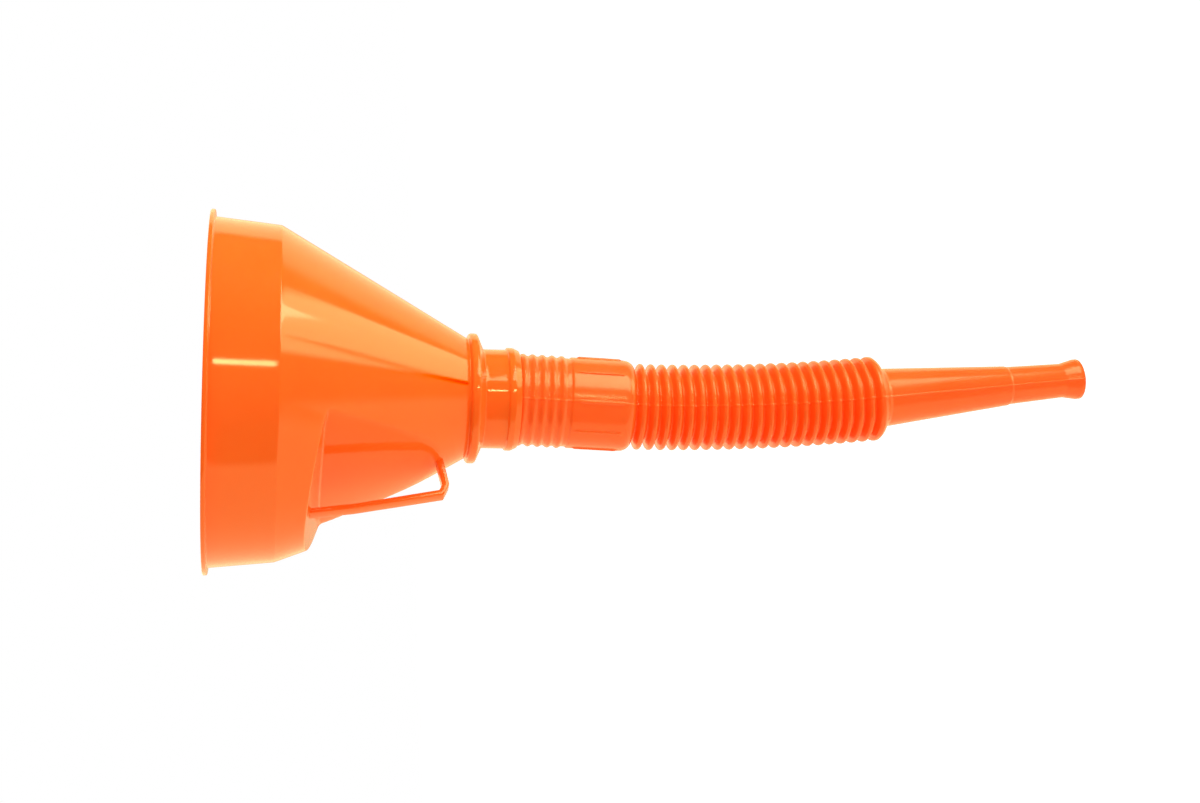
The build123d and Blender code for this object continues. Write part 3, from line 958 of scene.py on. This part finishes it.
def woven_gauze():
    """Plain-woven round gauze: wires that pass over and under each other."""
    low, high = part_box("strainer_gauze")
    radius = (high.x - low.x) / 2 - 0.2 * MM
    level = (low.z + high.z) / 2
    count = int(radius / MESH_PITCH)
    corners = np.arange(WIRE_SIDES) * FULL_TURN / WIRE_SIDES
    verts = []
    faces = []
    for along_x in (True, False):
        for line in range(-count, count + 1):
            offset = line * MESH_PITCH
            half = math.sqrt(max(radius**2 - offset**2, 0))
            steps = max(3, int(2 * half / (MESH_PITCH / 5)))
            base = len(verts)
            sign = 1 if along_x else -1
            for step in range(steps + 1):
                t = -half + 2 * half * step / steps
                weave = sign * WIRE_RADIUS * math.cos(math.pi * (t / MESH_PITCH + line))
                for corner in corners:
                    across = offset + WIRE_RADIUS * math.cos(corner)
                    up = level + weave + WIRE_RADIUS * math.sin(corner)
                    verts.append((t, across, up) if along_x else (across, t, up))
            for step in range(steps):
                for k in range(WIRE_SIDES):
                    a = base + step * WIRE_SIDES + k
                    b = base + step * WIRE_SIDES + (k + 1) % WIRE_SIDES
                    faces.append((a, b, b + WIRE_SIDES, a + WIRE_SIDES))
            faces.append(tuple(base + k for k in range(WIRE_SIDES))[::-1])
            faces.append(tuple(base + steps * WIRE_SIDES + k for k in range(WIRE_SIDES)))
    mesh = bpy.data.meshes.new("gauze_wires")
    mesh.from_pydata(verts, [], faces)
    mesh.update()
    return finish_object("gauze_wires", mesh, BRASS)


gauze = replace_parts(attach(woven_gauze(), "strainer"), "strainer_gauze")


# ---------------------------------------------------------------- camera
CAMERA_AZIMUTH = math.radians(-32.2)
CAMERA_ELEVATION = math.radians(9.0)
CAMERA_ROLL = math.radians(88.62)
CAMERA_DISTANCE = 946.3 * MM
AIM_DEPTH = 174.1 * MM
LENS_MM = 63.0

camera_back = Vector(
    (
        math.sin(CAMERA_AZIMUTH) * math.cos(CAMERA_ELEVATION),
        -math.cos(CAMERA_AZIMUTH) * math.cos(CAMERA_ELEVATION),
        math.sin(CAMERA_ELEVATION),
    )
)
level_right = Vector((0, 0, 1)).cross(camera_back).normalized()
level_up = camera_back.cross(level_right)
camera_up = level_up * math.cos(CAMERA_ROLL) + level_right * math.sin(CAMERA_ROLL)
camera_right = camera_up.cross(camera_back)
aim = Vector((0, 0, -AIM_DEPTH))


def facing(location, back, up):
    """Matrix that looks along minus back with up upwards."""
    right = up.cross(back).normalized()
    true_up = back.cross(right)
    turn = Matrix((right, true_up, back)).transposed()
    return Matrix.Translation(location) @ turn.to_4x4()


lens = bpy.data.cameras.new("camera")
lens.lens = LENS_MM
lens.clip_end = 20.0
camera = bpy.data.objects.new("camera", lens)
camera.matrix_world = facing(aim + camera_back * CAMERA_DISTANCE, camera_back, camera_up)
bpy.context.scene.collection.objects.link(camera)
bpy.context.scene.camera = camera


# ---------------------------------------------------------------- light
# Metres from the aim to the near softbox: to the camera's right, up and towards the camera.
NEAR_RIGHT = 0.26
NEAR_UP = 0.424
NEAR_BACK = 0.226
NEAR_COLOUR = (1.0, 0.95, 0.66)


def from_camera(azimuth, elevation):
    """Direction seen from the object; azimuth 0 is towards the camera and 90 is to its right."""
    a = math.radians(azimuth)
    e = math.radians(elevation)
    level = camera_right * math.sin(a) + camera_back * math.cos(a)
    return level * math.cos(e) + camera_up * math.sin(e)


def area_light(name, place, back, width, height, watts):
    """Rectangular light that shines along minus back, hidden from the camera and from reflections."""
    data = bpy.data.lights.new(name, "AREA")
    data.shape = "RECTANGLE"
    data.size = width
    data.size_y = height
    data.energy = watts
    light = bpy.data.objects.new(name, data)
    light.matrix_world = facing(place, back, camera_up)
    light.visible_camera = False
    light.visible_glossy = False
    bpy.context.scene.collection.objects.link(light)
    return light


def softbox(name, azimuth, elevation, distance, width, height, watts):
    """Light that faces the object from a direction around the camera."""
    back = from_camera(azimuth, elevation)
    area_light(name, aim + back * distance, back, width, height, watts)


def near_softbox():
    """Light close above the spout: near enough that the neck mirrors it and the band does not.

    It faces a point level with the aim and is seen in reflections only.
    """
    target = aim + camera_right * NEAR_RIGHT
    place = target + camera_up * NEAR_UP + camera_back * NEAR_BACK
    back = (place - target).normalized()
    light = area_light("near_softbox", place, back, width=0.40, height=0.34, watts=3.0)
    light.data.color = NEAR_COLOUR
    light.visible_glossy = True
    light.visible_diffuse = False


softbox("side_light", azimuth=88, elevation=30, distance=1.6, width=1.0, height=0.85, watts=7)
softbox("top_light", azimuth=0, elevation=80, distance=1.5, width=0.9, height=0.55, watts=23)
near_softbox()

EVEN_LIGHT = 0.66                    # strength of the white surroundings as they light the object
WARM_WHITE = (1.0, 0.92, 0.50)       # colour of the studio in reflections
TABLE_UP = (-0.215, 0.589, 0.774)    # upward from the white table, as camera right, up and back
TABLE_EDGE = 0.04                    # half the height, as a sine, of the soft edge at the horizon
TABLE_BRIGHT = 1.5
ROOM_DARK = 0.12

# Softboxes, and dark cards of negative brightness, in degrees around the camera:
# (left, right), (bottom, top), soft edge, brightness.
LAMPS = [
    ((70, 108), (20, 46), 3.0, 5.5),
    ((77.3, 79.3), (15, 28), 0.8, -5.0),
    ((14.5, 22.5), (17.6, 20.4), 0.7, 28.0),
    ((168, 190), (-14, 14), 6.0, -0.8),
    ((-190, -168), (-14, 14), 6.0, -0.8),
]


def maths(tree, operation, first, second=None):
    """A maths node; each of its inputs is another node's output or a number."""
    made = node(tree, "ShaderNodeMath", operation=operation)
    for socket, value in zip(made.inputs, (first, second)):
        if value is None:
            continue
        if isinstance(value, (int, float)):
            socket.default_value = value
        else:
            tree.links.new(value, socket)
    return made.outputs["Value"]


def window(tree, value, low, high, soft):
    """1 where value lies between low and high, falling to 0 over soft at each side."""
    rise = ramp(tree, value, low - soft / 2, low + soft / 2)
    fall = ramp(tree, value, high - soft / 2, high + soft / 2, 1.0, 0.0)
    return maths(tree, "MULTIPLY", rise, fall)


def lamp(tree, azimuth, elevation, across, up, soft, strength):
    """Brightness of one softbox seen as a reflection; angles in degrees."""
    wide = window(tree, azimuth, *across, soft)
    tall = window(tree, elevation, *up, soft)
    return maths(tree, "MULTIPLY", maths(tree, "MULTIPLY", wide, tall), strength)


def background(tree, colour):
    """A background shader of one colour."""
    made = node(tree, "ShaderNodeBackground")
    made.inputs["Color"].default_value = (*colour, 1.0)
    return made


def choose(tree, choice, no, yes):
    """A shader that is yes for rays of one kind and no for the others."""
    made = node(tree, "ShaderNodeMixShader")
    tree.links.new(choice, made.inputs["Fac"])
    tree.links.new(no, made.inputs[1])
    tree.links.new(yes, made.inputs[2])
    return made.outputs["Shader"]


def studio_brightness(tree):
    """Brightness of the studio in each direction: dark room, white table, softboxes and cards."""
    direction = node(tree, "ShaderNodeTexCoord").outputs["Generated"]
    parts = []
    for axis in (camera_right, camera_up, camera_back):
        dot = node(tree, "ShaderNodeVectorMath", operation="DOT_PRODUCT")
        dot.inputs[1].default_value = axis
        tree.links.new(direction, dot.inputs[0])
        parts.append(dot.outputs["Value"])
    degrees = 180 / math.pi
    azimuth = maths(tree, "MULTIPLY", maths(tree, "ARCTAN2", parts[0], parts[2]), degrees)
    elevation = maths(tree, "MULTIPLY", maths(tree, "ARCSINE", parts[1]), degrees)
    height = maths(tree, "MULTIPLY", parts[0], TABLE_UP[0])
    for part, weight in zip(parts[1:], TABLE_UP[1:]):
        height = maths(tree, "ADD", height, maths(tree, "MULTIPLY", part, weight))
    bright = ramp(tree, height, TABLE_EDGE, -TABLE_EDGE, ROOM_DARK, TABLE_BRIGHT)
    for across, up, soft, strength in LAMPS:
        bright = maths(tree, "ADD", bright, lamp(tree, azimuth, elevation, across, up, soft, strength))
    return bright


def studio_world():
    """White for the camera, even light for shading, and a studio with softboxes for reflections."""
    world = bpy.data.worlds.new("studio")
    world.use_nodes = True
    tree = world.node_tree
    even = tree.nodes["Background"]
    even.inputs["Color"].default_value = (1, 1, 1, 1)
    even.inputs["Strength"].default_value = EVEN_LIGHT
    mirrored = background(tree, WARM_WHITE)
    tree.links.new(studio_brightness(tree), mirrored.inputs["Strength"])
    backdrop = background(tree, (1, 1, 1))

    path = node(tree, "ShaderNodeLightPath").outputs
    shading = choose(tree, path["Is Glossy Ray"], even.outputs[0], mirrored.outputs[0])
    seen = choose(tree, path["Is Camera Ray"], shading, backdrop.outputs[0])
    tree.links.new(seen, tree.nodes["World Output"].inputs["Surface"])
    bpy.context.scene.world = world


studio_world()
bpy.context.scene.view_settings.view_transform = "Standard"

GROUND_HALF = 4.0
GROUND_GAP = 12 * MM                 # clear space between the outlet and the floor


def pale_floor():
    """Plain pale floor below the outlet, lit a little from within so that it stays pale."""
    mesh = bpy.data.meshes.new("floor")
    level = cad_box[0][2] - GROUND_GAP
    signs = ((-1, -1), (1, -1), (1, 1), (-1, 1))
    corners = [(x * GROUND_HALF, y * GROUND_HALF, level) for x, y in signs]
    mesh.from_pydata(corners, [], [(0, 1, 2, 3)])
    material, _, shader = new_material("floor_paint")
    shader.inputs["Base Color"].default_value = (0.95, 0.95, 0.95, 1)
    shader.inputs["Roughness"].default_value = 0.9
    shader.inputs["Emission Color"].default_value = (1, 1, 1, 1)
    shader.inputs["Emission Strength"].default_value = 0.4
    mesh.materials.append(material)
    floor = bpy.data.objects.new("floor", mesh)
    bpy.context.scene.collection.objects.link(floor)
    floor.visible_glossy = False


pale_floor()
